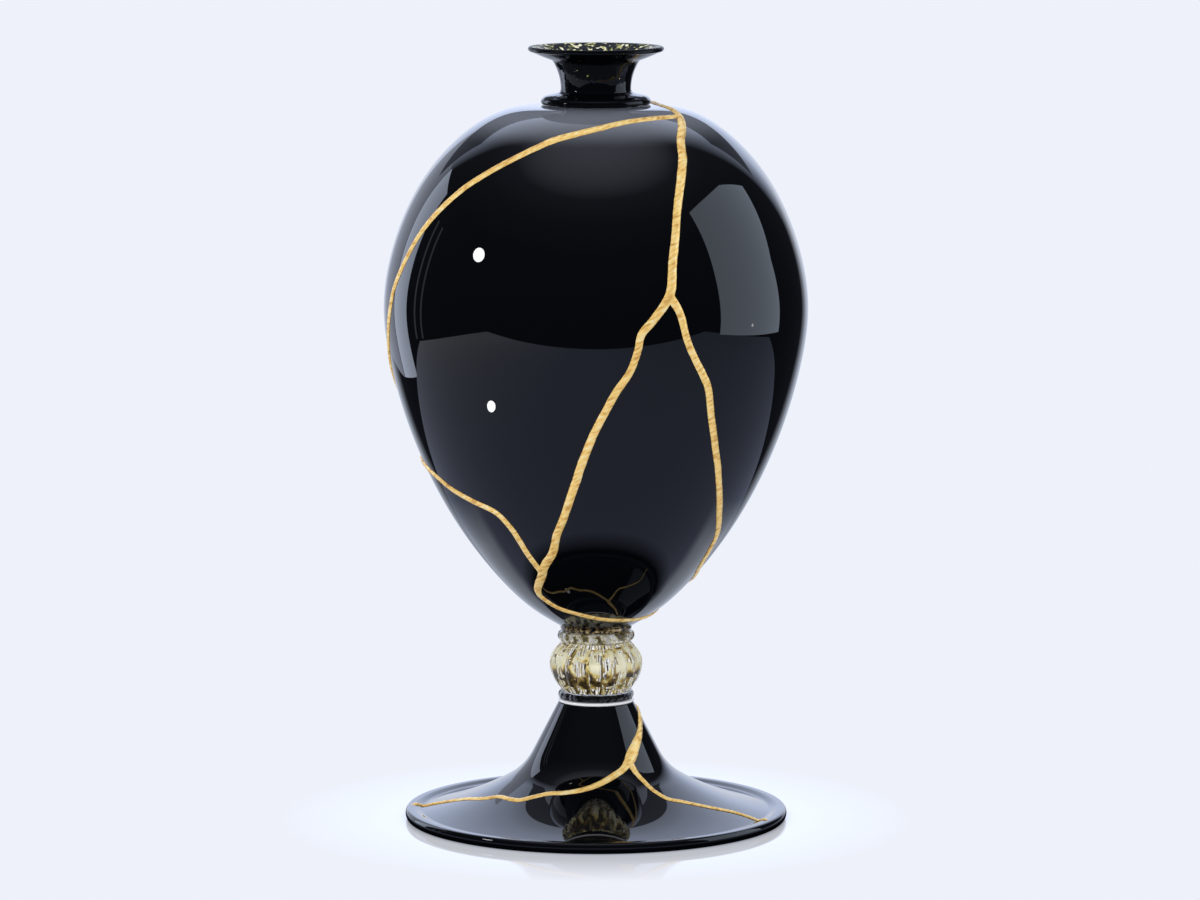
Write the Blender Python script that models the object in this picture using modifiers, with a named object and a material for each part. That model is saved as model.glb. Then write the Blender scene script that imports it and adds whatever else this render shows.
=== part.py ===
"""Kintsugi vase: a blown black glass vase on a spreading foot, mended with gilded seams.

The vase stands on the XY plane. Its axis is +Z, and its origin is the middle of its underside.
From the floor up it is a foot, a clear thread, a black ring, a ribbed crystal knop, a small ribbed
ring, a dark collar, the hollow body and the neck with its spread lip. Neighbours in the stack stand
GAP apart. The gilded seams are low raised strips that lie on the body and on the foot.
"""

import math

import bmesh
import bpy
import numpy as np

# Sizes that several pieces share, in metres
GAP = 0.0003
STEM_RADIUS = 0.0153

# The foot: a cone that flares through a fillet into a shallow dish with a folded rim
FOOT_HEIGHT = 0.048
FOOT_RIM_RADIUS = 0.0779
FOOT_RIM_THICKNESS = 0.0044
FOOT_RIM_ROUND = 0.0015
FOOT_RIM_FOLD = 0.0026
FOOT_REST_WIDTH = 0.0045
FOOT_EDGE_INSET = 0.0069
FOOT_EDGE_HEIGHT = 0.0034
FOOT_EDGE_TILT = math.radians(11.5)
FOOT_DISH_SHARE = 0.635
FOOT_DISH_TILT = math.radians(31)
FOOT_FILLET = 0.0262
FOOT_WALL = 0.003
FOOT_CROWN = 0.008

# The rings and the knop between foot and body
THREAD_HEIGHT = 0.0012
THREAD_PROUD = 0.0003
BLACK_RING_HEIGHT = 0.0028
BLACK_RING_PROUD = 0.0002
KNOP_HEIGHT = 0.0202
KNOP_RADIUS = 0.0189
KNOP_BELT = 0.0112
KNOP_SEAT_INSET = 0.0015
KNOP_RIBS = 20
KNOP_RIB_DEPTH = 0.0011
KNOP_RING_HEIGHT = 0.0042
KNOP_RING_PROUD = 0.0005
KNOP_RING_RIB_DEPTH = 0.0005
COLLAR_HEIGHT = 0.0022
COLLAR_INSET = 0.0006
RING_BULGE = 0.0007

# The body, an ovoid shell
BODY_HEIGHT = 0.2113
BODY_RADIUS = 0.0859
BODY_SEAT_RADIUS = 0.016
BODY_WALL = 0.003
BODY_FLOOR = 0.004

# The neck and its lip
NECK_HEIGHT = 0.0231
NECK_WAIST_RADIUS = 0.0142
NECK_WALL = 0.0027
THROAT_RADIUS = 0.0176
LEDGE_RADIUS = 0.0223
LEDGE_THICKNESS = 0.0038
LEDGE_UNDERCUT = 0.0006
LIP_RADIUS = 0.0274
LIP_THICKNESS = 0.002
LIP_RISE = 0.0035
MOUTH_FLARE = 0.004
MOUTH_DEPTH = 0.0035

# The gilded seams
SEAM_HEIGHT = 0.0007
SEAM_CROWN = 0.5
SEAM_SAG = 0.00012

# Where each piece stands: the stack's heights, from the floor up
THREAD_BOTTOM = FOOT_HEIGHT + GAP
BLACK_RING_BOTTOM = THREAD_BOTTOM + THREAD_HEIGHT + GAP
KNOP_BOTTOM = BLACK_RING_BOTTOM + BLACK_RING_HEIGHT + GAP
KNOP_RING_BOTTOM = KNOP_BOTTOM + KNOP_HEIGHT + GAP
COLLAR_BOTTOM = KNOP_RING_BOTTOM + KNOP_RING_HEIGHT + GAP
BODY_BOTTOM = COLLAR_BOTTOM + COLLAR_HEIGHT + GAP
NECK_BOTTOM = BODY_BOTTOM + BODY_HEIGHT + GAP
VASE_TOP = NECK_BOTTOM + NECK_HEIGHT

# Sizes that follow from the ones above
BORE_RADIUS = NECK_WAIST_RADIUS - NECK_WALL
BODY_TOP_RADIUS = LEDGE_RADIUS - LEDGE_UNDERCUT

# The ovoid between its seat and its top edge: share of the body's height, share of its greatest radius
BODY_OUTLINE = (
    (0.031, 0.304),
    (0.079, 0.433),
    (0.141, 0.562),
    (0.221, 0.695),
    (0.311, 0.810),
    (0.406, 0.901),
    (0.510, 0.970),
    (0.613, 1.000),
    (0.713, 0.966),
    (0.803, 0.888),
    (0.879, 0.778),
    (0.938, 0.644),
    (0.980, 0.493),
    (0.997, 0.360),
)

# The cracks. Each point is an azimuth in degrees, with -90 at the front, a rise, which is the share
# of the skin's length from its lower edge to its upper one, and the seam's width in metres there.
CRACK_DOWN_THE_FRONT = (
    (10, 0.990, 0.0022),
    (-4, 0.984, 0.0026),
    (-15.5, 0.973, 0.0030),
    (-31, 0.937, 0.0036),
    (-49, 0.880, 0.0036),
    (-55.5, 0.835, 0.0038),
    (-61, 0.788, 0.0036),
    (-64.5, 0.747, 0.0034),
    (-66.5, 0.710, 0.0034),
    (-68.5, 0.668, 0.0036),
    (-70, 0.622, 0.0038),
    (-74.5, 0.587, 0.0034),
    (-78, 0.564, 0.0032),
    (-79, 0.539, 0.0030),
    (-81, 0.507, 0.0030),
    (-84.5, 0.477, 0.0032),
    (-87.5, 0.445, 0.0032),
    (-90.5, 0.412, 0.0032),
    (-94, 0.366, 0.0034),
    (-97, 0.323, 0.0034),
    (-101.5, 0.268, 0.0032),
    (-105.5, 0.232, 0.0032),
    (-109, 0.196, 0.0034),
    (-115.5, 0.165, 0.0036),
    (-120, 0.140, 0.0036),
    (-128, 0.106, 0.0032),
    (-127, 0.088, 0.0030),
    (-119, 0.067, 0.0028),
    (-103.5, 0.052, 0.0026),
    (-84.5, 0.038, 0.0026),
    (-61, 0.030, 0.0026),
    (-39, 0.027, 0.0026),
    (-18, 0.030, 0.0026),
    (4, 0.042, 0.0027),
    (22, 0.058, 0.0028),
    (38, 0.078, 0.0028),
)
CRACK_OVER_THE_SHOULDER = (
    (-34, 0.931, 0.0030),
    (-55, 0.930, 0.0032),
    (-73, 0.922, 0.0034),
    (-88.5, 0.905, 0.0036),
    (-106.5, 0.880, 0.0038),
    (-115, 0.859, 0.0034),
    (-125, 0.828, 0.0032),
    (-134, 0.796, 0.0032),
    (-139.5, 0.773, 0.0032),
    (-147, 0.732, 0.0032),
    (-152.5, 0.693, 0.0030),
    (-157.5, 0.646, 0.0030),
    (-161.5, 0.608, 0.0030),
    (-164, 0.573, 0.0030),
    (-169, 0.525, 0.0028),
    (-177, 0.475, 0.0028),
    (-187, 0.425, 0.0028),
    (-197, 0.382, 0.0028),
    (-207, 0.352, 0.0028),
)
CRACK_DOWN_THE_RIGHT = (
    (-70, 0.618, 0.0036),
    (-67.5, 0.594, 0.0032),
    (-65.5, 0.555, 0.0030),
    (-63, 0.526, 0.0030),
    (-59.5, 0.495, 0.0032),
    (-57.5, 0.474, 0.0032),
    (-55, 0.429, 0.0032),
    (-51, 0.378, 0.0032),
    (-48, 0.348, 0.0032),
    (-44, 0.310, 0.0032),
    (-37, 0.258, 0.0034),
    (-29, 0.213, 0.0032),
    (-26, 0.182, 0.0030),
    (-21, 0.145, 0.0030),
    (-10, 0.120, 0.0028),
    (6, 0.100, 0.0028),
    (22, 0.086, 0.0028),
    (38, 0.078, 0.0028),
)
CRACK_ROUND_THE_LEFT = (
    (-118, 0.150, 0.0030),
    (-121.5, 0.188, 0.0030),
    (-123, 0.215, 0.0030),
    (-125, 0.241, 0.0030),
    (-129.5, 0.267, 0.0030),
    (-139, 0.282, 0.0028),
    (-149.5, 0.297, 0.0028),
    (-160, 0.315, 0.0028),
    (-176, 0.330, 0.0028),
    (-192, 0.338, 0.0028),
    (-207, 0.352, 0.0028),
    (-222, 0.372, 0.0028),
    (-240, 0.390, 0.0028),
    (-257, 0.400, 0.0028),
)
CRACK_UP_THE_BACK = (
    (38, 0.078, 0.0030),
    (54, 0.103, 0.0028),
    (68, 0.145, 0.0028),
    (79, 0.195, 0.0028),
    (88, 0.255, 0.0028),
    (96, 0.325, 0.0028),
    (103, 0.400, 0.0030),
    (105, 0.460, 0.0028),
    (101, 0.530, 0.0028),
    (91, 0.600, 0.0028),
    (80, 0.670, 0.0028),
    (67, 0.735, 0.0028),
    (61, 0.800, 0.0028),
    (58, 0.860, 0.0028),
    (56, 0.915, 0.0028),
    (51, 0.958, 0.0026),
    (36, 0.980, 0.0024),
    (10, 0.990, 0.0022),
)
CRACK_ACROSS_THE_FOOT = (
    (12, 0.968, 0.0024),
    (-4, 0.940, 0.0026),
    (-18, 0.903, 0.0030),
    (-31.5, 0.850, 0.0032),
    (-45.5, 0.791, 0.0042),
    (-52, 0.757, 0.0050),
    (-57, 0.726, 0.0048),
    (-61.5, 0.700, 0.0036),
    (-67.5, 0.670, 0.0028),
    (-77.5, 0.633, 0.0028),
    (-87.5, 0.593, 0.0028),
    (-98.5, 0.553, 0.0028),
    (-110.5, 0.523, 0.0026),
    (-120.5, 0.506, 0.0026),
    (-129, 0.465, 0.0026),
    (-135.5, 0.426, 0.0026),
    (-144, 0.419, 0.0024),
    (-152, 0.413, 0.0024),
    (-161, 0.361, 0.0024),
    (-174, 0.289, 0.0024),
    (-182.5, 0.176, 0.0024),
    (-184, 0.062, 0.0024),
    (-182, 0.014, 0.0024),
)
CRACK_TO_THE_RIGHT_RIM = (
    (-58.5, 0.709, 0.0034),
    (-56, 0.645, 0.0026),
    (-53, 0.587, 0.0024),
    (-51, 0.518, 0.0022),
    (-47, 0.444, 0.0022),
    (-40.5, 0.403, 0.0022),
    (-34, 0.352, 0.0020),
    (-28, 0.292, 0.0020),
    (-22.5, 0.216, 0.0018),
    (-21, 0.136, 0.0016),
    (-23, 0.014, 0.0014),
)

# How many flat sides stand for each round, and how many steps for each curve of a section
BODY_SEGMENTS = 48
BODY_RINGS = 16
FOOT_SEGMENTS = 48
FOOT_ARC_STEPS = 3
NECK_SEGMENTS = 28
RIM_ARC_STEPS = 4
RING_SEGMENTS = 24
SIDES_TO_A_RIB = 4


def clear_scene():
    """Takes everything out of the file that it runs in."""
    for old in list(bpy.data.objects):
        bpy.data.objects.remove(old, do_unlink=True)


def new_collection(name):
    """A collection under the scene's own."""
    made = bpy.data.collections.new(name)
    bpy.context.scene.collection.children.link(made)
    return made


def new_material(name, colour, roughness, metallic=0.0, transmission=0.0):
    """A Principled material with plain values."""
    made = bpy.data.materials.new(name)
    made.use_nodes = True
    shader = made.node_tree.nodes["Principled BSDF"]
    shader.inputs["Base Color"].default_value = (*colour, 1.0)
    shader.inputs["Roughness"].default_value = roughness
    shader.inputs["Metallic"].default_value = metallic
    shader.inputs["Transmission Weight"].default_value = transmission
    made.diffuse_color = (*colour, 1.0)
    return made


def spline(points, count):
    """Evenly spaced points on the smooth curve through the given ones, with an even change of bend."""
    knots = np.array(points, float)
    steps = np.hypot(*np.diff(knots, axis=0).T)
    places = np.concatenate(([0.0], np.cumsum(steps)))
    size = len(knots)
    rows = np.eye(size)
    turns = np.zeros((size, 2))
    for i in range(1, size - 1):
        before = steps[i - 1]
        after = steps[i]
        rows[i, i - 1 : i + 2] = before, 2 * (before + after), after
        turns[i] = 6 * ((knots[i + 1] - knots[i]) / after - (knots[i] - knots[i - 1]) / before)
    bends = np.linalg.solve(rows, turns)
    curve = []
    for place in np.linspace(0.0, places[-1], count):
        i = min(max(int(np.searchsorted(places, place)) - 1, 0), size - 2)
        step = steps[i]
        back = places[i + 1] - place
        on = place - places[i]
        start = bends[i] * back**3 / (6 * step) + (knots[i] / step - bends[i] * step / 6) * back
        end = bends[i + 1] * on**3 / (6 * step) + (knots[i + 1] / step - bends[i + 1] * step / 6) * on
        curve.append(start + end)
    return np.array(curve)


class Skin:
    """The surface that an outline sweeps round the axis. The outline runs from its lower end up."""

    def __init__(self, outline):
        self.line = np.array(outline, float)
        steps = np.hypot(*np.diff(self.line, axis=0).T)
        self.places = np.concatenate(([0.0], np.cumsum(steps)))
        self.length = self.places[-1]

    def section(self, rise):
        """Radius, height and outward direction at a rise, the share of the outline's length."""
        place = min(max(rise, 0.0), 1.0) * self.length
        radius = np.interp(place, self.places, self.line[:, 0])
        height = np.interp(place, self.places, self.line[:, 1])
        i = min(max(int(np.searchsorted(self.places, place)) - 1, 0), len(self.line) - 2)
        along = self.line[i + 1] - self.line[i]
        out = np.array((along[1], -along[0])) / np.hypot(*along)
        return radius, height, out

    def inset(self, rise, depth):
        """The point of the section that lies this deep under the skin."""
        radius, height, out = self.section(rise)
        return radius - depth * out[0], height - depth * out[1]

    def point(self, azimuth, rise, lift=0.0):
        """The point in space at an azimuth in degrees and a rise, this far off the skin."""
        radius, height, out = self.section(rise)
        far = radius + lift * out[0]
        turn = math.radians(azimuth)
        return np.array((far * math.cos(turn), far * math.sin(turn), height + lift * out[1]))


def body_skin():
    """The body's outer skin, from its seat to the edge under the neck."""
    points = [(BODY_SEAT_RADIUS, BODY_BOTTOM)]
    for height, radius in BODY_OUTLINE:
        points.append((radius * BODY_RADIUS, BODY_BOTTOM + height * BODY_HEIGHT))
    points.append((BODY_TOP_RADIUS, BODY_BOTTOM + BODY_HEIGHT))
    return Skin(spline(points, 401))


def facing(tilt):
    """The outward direction of a surface that climbs towards the axis at this tilt."""
    return np.array((math.sin(tilt), math.cos(tilt)))


def foot_curve(depth, arc_steps):
    """The foot's section this deep under its skin, from the fold up: dish, fillet and cone."""
    edge = np.array((FOOT_RIM_RADIUS - FOOT_EDGE_INSET, FOOT_EDGE_HEIGHT))
    top = np.array((STEM_RADIUS, FOOT_HEIGHT))
    low = facing(FOOT_EDGE_TILT)
    high = facing(FOOT_DISH_TILT)
    dish = FOOT_DISH_SHARE * (edge[0] - top[0]) / (high[0] - low[0])
    dish_centre = edge + dish * low
    bend = dish_centre - dish * high
    reach = top - bend
    lean = reach @ high
    fillet = FOOT_FILLET
    if lean > 0.0:
        fillet = min(fillet, 0.45 * (reach @ reach) / lean)
    fillet_centre = bend + fillet * high
    away = top - fillet_centre
    cone_tilt = math.pi + math.asin(fillet / np.hypot(*away)) - math.atan2(away[1], away[0])
    points = []
    for tilt in np.linspace(FOOT_EDGE_TILT, FOOT_DISH_TILT, arc_steps + 1):
        points.append(dish_centre - (dish + depth) * facing(tilt))
    for tilt in np.linspace(FOOT_DISH_TILT, cone_tilt, arc_steps + 1)[1:]:
        points.append(fillet_centre - (fillet + depth) * facing(tilt))
    points.append(top - depth * facing(cone_tilt))
    return [tuple(point) for point in points]


def foot_line(arc_steps):
    """The foot's upper side, from the top of its rim over the fold to the stem."""
    rim = FOOT_RIM_RADIUS - FOOT_RIM_ROUND
    fold = [(rim, FOOT_RIM_THICKNESS), (rim - FOOT_RIM_FOLD, FOOT_RIM_THICKNESS)]
    return fold + foot_curve(0.0, arc_steps)


def turned(name, outline, segments, finish, closed=False):
    """A piece turned from its section, which runs down the outer side."""
    count = len(outline)
    edges = [(i, i + 1) for i in range(count - 1)]
    if closed:
        edges.append((count - 1, 0))
    mesh = bpy.data.meshes.new(name)
    mesh.from_pydata([(radius, 0.0, height) for radius, height in outline], edges, [])
    mesh.materials.append(finish)
    piece = bpy.data.objects.new(name, mesh)
    VASE.objects.link(piece)
    turn = piece.modifiers.new("turn", "SCREW")
    turn.axis = "Z"
    turn.angle = math.tau
    turn.steps = segments
    turn.render_steps = segments
    turn.use_merge_vertices = True
    turn.merge_threshold = 0.00001
    turn.use_smooth_shade = True
    return piece


def flute(piece, ribs, depth):
    """Keeps the turned mesh and draws it in between the ribs, less where the piece is narrower."""
    graph = bpy.context.evaluated_depsgraph_get()
    mesh = bpy.data.meshes.new_from_object(piece.evaluated_get(graph))
    piece.modifiers.clear()
    piece.data = mesh
    widest = max(math.hypot(vertex.co.x, vertex.co.y) for vertex in mesh.vertices)
    for vertex in mesh.vertices:
        azimuth = math.atan2(vertex.co.y, vertex.co.x)
        valley = 1.0 - abs(math.cos(azimuth * ribs / 2))
        share = 1.0 - valley * depth / widest
        vertex.co.x *= share
        vertex.co.y *= share
    mesh.shade_smooth()
    mesh.set_sharp_from_angle(angle=math.radians(40))


def make_foot(finish):
    """The foot, hollow underneath, standing on the flat ring under its folded rim."""
    rim_centre = FOOT_RIM_RADIUS - FOOT_RIM_ROUND
    half = FOOT_RIM_THICKNESS / 2
    outside = foot_line(FOOT_ARC_STEPS)
    edge = []
    for i in range(1, RIM_ARC_STEPS + 1):
        angle = math.pi / 2 - math.pi * i / RIM_ARC_STEPS
        edge.append((rim_centre + FOOT_RIM_ROUND * math.cos(angle), half + half * math.sin(angle)))
    inside = foot_curve(FOOT_WALL, FOOT_ARC_STEPS - 1)
    ceiling = FOOT_HEIGHT - FOOT_CROWN
    rest_edge = rim_centre - FOOT_REST_WIDTH
    bend = rest_edge - FOOT_RIM_ROUND
    spring = ceiling - FOOT_WALL
    arch = [point for point in inside if point[1] < spring and point[0] < bend - FOOT_RIM_ROUND / 2]
    radii = [point[0] for point in inside]
    heights = [point[1] for point in inside]
    over_rest = float(np.interp(bend, radii[::-1], heights[::-1]))
    shoulder = float(np.interp(spring, heights, radii))
    outline = [(0.0, FOOT_HEIGHT), *reversed(outside), *edge]
    outline += [(rest_edge, 0.0), (bend, over_rest), *arch]
    outline += [(shoulder, spring), (shoulder * 0.6, ceiling), (0.0, ceiling)]
    return turned("foot", outline, FOOT_SEGMENTS, finish)


def bead(name, bottom, height, radius, bulge, finish, segments=RING_SEGMENTS):
    """A solid glass ring of the stem: a low drum whose side swells by the bulge."""
    outline = [(0.0, bottom + height)]
    for share, swell in ((1.0, 0.0), (0.75, 0.8), (0.25, 0.8), (0.0, 0.0)):
        outline.append((radius - bulge * (1.0 - swell), bottom + height * share))
    outline.append((0.0, bottom))
    return turned(name, outline, segments, finish)


def make_knop(finish):
    """The ribbed crystal knop, widest at its belt, each half a parabola."""
    seat = STEM_RADIUS - KNOP_SEAT_INSET
    top = KNOP_BOTTOM + KNOP_HEIGHT
    belt = KNOP_BOTTOM + KNOP_BELT
    outline = [(0.0, top)]
    for share in (1.0, 0.72, 0.42, 0.0, -0.42, -0.72, -1.0):
        height = belt + share * (KNOP_HEIGHT - KNOP_BELT if share > 0 else KNOP_BELT)
        outline.append((KNOP_RADIUS - (KNOP_RADIUS - seat) * share * share, height))
    outline.append((0.0, KNOP_BOTTOM))
    knop = turned("knop", outline, KNOP_RIBS * SIDES_TO_A_RIB, finish)
    flute(knop, KNOP_RIBS, KNOP_RIB_DEPTH)
    return knop


def make_body(skin, finish):
    """The hollow body, open at the top by the bore that runs on through the neck."""
    top = BODY_BOTTOM + BODY_HEIGHT
    floor = BODY_BOTTOM + BODY_FLOOR
    hollow = [skin.inset(i / 40, BODY_WALL) for i in range(41)]
    heights = [height for radius, height in hollow]
    radii = [radius for radius, height in hollow]
    outline = [(0.0, floor), (float(np.interp(floor, heights, radii)), floor)]
    outline += [point for point in hollow[4:41:4] if point[1] > floor + BODY_WALL]
    outline += [(BORE_RADIUS, hollow[-1][1]), (BORE_RADIUS, top)]
    outline += [skin.section(1.0 - i / BODY_RINGS)[:2] for i in range(BODY_RINGS + 1)]
    outline.append((0.0, BODY_BOTTOM))
    return turned("body", outline, BODY_SEGMENTS, finish)


def neck_outline():
    """The neck's section, down its outer side, up its bore and out over the dished mouth."""
    lip_half = LIP_THICKNESS / 2
    edge = LIP_RADIUS - lip_half
    outline = []
    for i in range(RIM_ARC_STEPS + 1):
        angle = math.pi / 2 - math.pi * i / RIM_ARC_STEPS
        height = VASE_TOP - lip_half + lip_half * math.sin(angle)
        outline.append((edge + lip_half * math.cos(angle), height))
    throat = VASE_TOP - LIP_THICKNESS - LIP_RISE
    for share in (0.75, 0.45, 0.15):
        outline.append((THROAT_RADIUS + share * (edge - THROAT_RADIUS), throat + LIP_RISE * share**1.15))
    waist = NECK_BOTTOM + 1.6 * LEDGE_THICKNESS
    for share in (0.85, 0.5, 0.0):
        radius = NECK_WAIST_RADIUS + (THROAT_RADIUS - NECK_WAIST_RADIUS) * share * share
        outline.append((radius, waist + share * (throat - waist)))
    width = LEDGE_RADIUS - NECK_WAIST_RADIUS
    for out, up in ((0.1, 1.2), (0.4, 1.06), (0.7, 0.92), (0.93, 0.6), (1.0, 0.3)):
        outline.append((NECK_WAIST_RADIUS + out * width, NECK_BOTTOM + up * LEDGE_THICKNESS))
    outline.append((BODY_TOP_RADIUS, NECK_BOTTOM))
    outline.append((BORE_RADIUS, NECK_BOTTOM))
    bowl = VASE_TOP - MOUTH_DEPTH
    outline.append((BORE_RADIUS, bowl - MOUTH_FLARE))
    outline.append((BORE_RADIUS + 0.3 * MOUTH_FLARE, bowl - 0.35 * MOUTH_FLARE))
    outline.append((BORE_RADIUS + MOUTH_FLARE, bowl))
    return outline


def smooth_path(points):
    """Close points on a rounded line through the crack's points, which it doesn't cut short."""
    knots = np.array(points, float)
    knots = np.vstack((2 * knots[0] - knots[1], knots, 2 * knots[-1] - knots[-2]))
    path = []
    for i in range(1, len(knots) - 2):
        before, start, end, after = knots[i - 1 : i + 3]
        for t in np.linspace(0.0, 1.0, 24, endpoint=False):
            bend = 2 * before - 5 * start + 4 * end - after
            twist = 3 * start - before - 3 * end + after
            path.append(start + 0.5 * t * (end - before + t * (bend + t * twist)))
    path.append(knots[-2])
    return np.array(path)


def stations(skin, points):
    """The path's stations, close enough that no straight stretch between two sinks into the skin."""
    path = smooth_path(points)
    places = np.array([skin.point(azimuth, rise) for azimuth, rise, width in path])
    picked = [0]
    for i in range(1, len(path)):
        radius = math.hypot(places[i][0], places[i][1])
        reach = math.sqrt(8 * radius * SEAM_SAG)
        if np.linalg.norm(places[i] - places[picked[-1]]) >= reach:
            picked.append(i)
    if np.linalg.norm(places[-1] - places[picked[-1]]) < SEAM_HEIGHT:
        picked.pop()
    if picked[-1] != len(path) - 1:
        picked.append(len(path) - 1)
    return path[picked]


def seam_strip(name, skin, points, lift, home):
    """One seam: a strip with a flat crown and sloping sides, lofted along its crack."""
    line = stations(skin, points)
    centres = np.array([skin.point(azimuth, rise) for azimuth, rise, width in line])
    half_crown = 0.5 * SEAM_CROWN
    section = ((-0.5, 0.0), (0.5, 0.0), (half_crown, SEAM_HEIGHT), (-half_crown, SEAM_HEIGHT))
    mesh = bmesh.new()
    rings = []
    for i, (azimuth, rise, width) in enumerate(line):
        ahead = centres[min(i + 1, len(line) - 1)] - centres[max(i - 1, 0)]
        radius, height, out = skin.section(rise)
        turn = math.radians(azimuth)
        east = np.array((-math.sin(turn), math.cos(turn), 0.0))
        up = np.array((-out[1] * math.cos(turn), -out[1] * math.sin(turn), out[0]))
        along = np.array((ahead @ east, ahead @ up))
        along /= np.hypot(*along)
        ring = []
        for side, rest in section:
            shift = side * width
            there = azimuth - math.degrees(along[1] * shift / radius)
            here = rise + along[0] * shift / skin.length
            ring.append(mesh.verts.new(skin.point(there, here, lift + rest)))
        rings.append(ring)
    for start, end in zip(rings, rings[1:]):
        for i in range(4):
            j = (i + 1) % 4
            mesh.faces.new((start[i], start[j], end[j], end[i]))
    mesh.faces.new(reversed(rings[0]))
    mesh.faces.new(rings[-1])
    bmesh.ops.recalc_face_normals(mesh, faces=mesh.faces)
    bmesh.ops.triangulate(mesh, faces=mesh.faces)
    data = bpy.data.meshes.new(name)
    mesh.to_mesh(data)
    mesh.free()
    strip = bpy.data.objects.new(name, data)
    home.objects.link(strip)
    return strip


def seam_network(name, skin, cracks, finish):
    """The seams of one skin as one solid. Each branch lies a hair higher than the one it joins."""
    network = seam_strip(name, skin, cracks[0], GAP, VASE)
    network.data.materials.append(finish)
    for i, crack in enumerate(cracks[1:], start=1):
        branch = seam_strip(f"{name}_branch_{i}", skin, crack, GAP + i * SEAM_HEIGHT / 20, CUTTERS)
        branch.hide_render = True
        branch.display_type = "WIRE"
        joint = network.modifiers.new(f"join_{i}", "BOOLEAN")
        joint.operation = "UNION"
        joint.solver = "EXACT"
        joint.object = branch
    return network


clear_scene()
VASE = new_collection("kintsugi_vase")
CUTTERS = new_collection("cutters")

black_glass = new_material("black_glass", (0.012, 0.013, 0.018), 0.05)
flecked_glass = new_material("flecked_glass", (0.05, 0.045, 0.02), 0.12)
crystal = new_material("crystal", (0.93, 0.89, 0.72), 0.03, transmission=0.9)
clear_thread = new_material("clear_thread", (0.85, 0.86, 0.88), 0.05, transmission=0.5)
gold = new_material("gold", (0.76, 0.50, 0.16), 0.32, metallic=1.0)

body_surface = body_skin()
foot_surface = Skin(foot_line(FOOT_ARC_STEPS))

make_foot(black_glass)
bead("thread_ring", THREAD_BOTTOM, THREAD_HEIGHT, STEM_RADIUS + THREAD_PROUD, THREAD_PROUD, clear_thread)
bead(
    "black_ring",
    BLACK_RING_BOTTOM,
    BLACK_RING_HEIGHT,
    STEM_RADIUS + BLACK_RING_PROUD,
    RING_BULGE,
    black_glass,
)
make_knop(crystal)
knop_ring = bead(
    "knop_ring",
    KNOP_RING_BOTTOM,
    KNOP_RING_HEIGHT,
    STEM_RADIUS + KNOP_RING_PROUD,
    RING_BULGE,
    crystal,
    KNOP_RIBS * SIDES_TO_A_RIB // 2,
)
flute(knop_ring, KNOP_RIBS, KNOP_RING_RIB_DEPTH)
bead("collar", COLLAR_BOTTOM, COLLAR_HEIGHT, STEM_RADIUS - COLLAR_INSET, RING_BULGE, flecked_glass)
make_body(body_surface, black_glass)
turned("neck", neck_outline(), NECK_SEGMENTS, flecked_glass, closed=True)
seam_network(
    "body_seams",
    body_surface,
    (
        CRACK_DOWN_THE_FRONT,
        CRACK_OVER_THE_SHOULDER,
        CRACK_DOWN_THE_RIGHT,
        CRACK_ROUND_THE_LEFT,
        CRACK_UP_THE_BACK,
    ),
    gold,
)
seam_network("foot_seams", foot_surface, (CRACK_ACROSS_THE_FOOT, CRACK_TO_THE_RIGHT_RIM), gold)
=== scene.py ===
"""The looks of a kintsugi vase: black glass with gilded seams, a ribbed crystal knop and a flecked lip.

Each piece is a fine version of the solid that it replaces. Lengths are in metres, azimuths in degrees
from +X, so that -90 is the front, and the vase's axis is +Z.
"""

import math

import bmesh
import bpy
import numpy as np
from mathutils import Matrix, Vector, noise


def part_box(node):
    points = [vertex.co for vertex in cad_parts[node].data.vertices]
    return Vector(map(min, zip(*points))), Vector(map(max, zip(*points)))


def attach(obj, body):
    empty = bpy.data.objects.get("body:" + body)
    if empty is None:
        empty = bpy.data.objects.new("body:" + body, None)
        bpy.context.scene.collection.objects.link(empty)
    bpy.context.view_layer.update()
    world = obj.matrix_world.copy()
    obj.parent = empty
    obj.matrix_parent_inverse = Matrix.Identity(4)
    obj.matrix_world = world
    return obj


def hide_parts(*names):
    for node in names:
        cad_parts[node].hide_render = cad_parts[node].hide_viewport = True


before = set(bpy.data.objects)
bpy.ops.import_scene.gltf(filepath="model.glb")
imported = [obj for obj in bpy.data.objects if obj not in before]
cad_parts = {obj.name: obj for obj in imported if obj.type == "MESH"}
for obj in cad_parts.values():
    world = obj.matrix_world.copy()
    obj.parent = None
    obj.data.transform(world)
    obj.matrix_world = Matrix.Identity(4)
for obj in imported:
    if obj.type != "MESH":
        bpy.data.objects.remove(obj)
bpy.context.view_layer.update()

# The camera, fitted to the photograph. The lens and the frame's width are in millimetres.
CAMERA_PLACE = (0.0, -2.321, 0.4598)
CAMERA_PITCH = math.radians(7.57)
CAMERA_YAW = math.radians(0.04)
CAMERA_LENS = 173.07
CAMERA_FRAME = 36.0

# Sizes that the solids' boxes give
FOOT_RIM_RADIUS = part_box("foot")[1].x
FOOT_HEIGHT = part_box("foot")[1].z
KNOP_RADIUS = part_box("knop")[1].x
KNOP_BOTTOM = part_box("knop")[0].z
KNOP_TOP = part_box("knop")[1].z
BODY_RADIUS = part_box("body")[1].x
BODY_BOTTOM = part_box("body")[0].z
BODY_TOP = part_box("body")[1].z
LIP_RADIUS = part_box("neck")[1].x
NECK_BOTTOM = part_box("neck")[0].z
VASE_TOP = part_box("neck")[1].z

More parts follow.
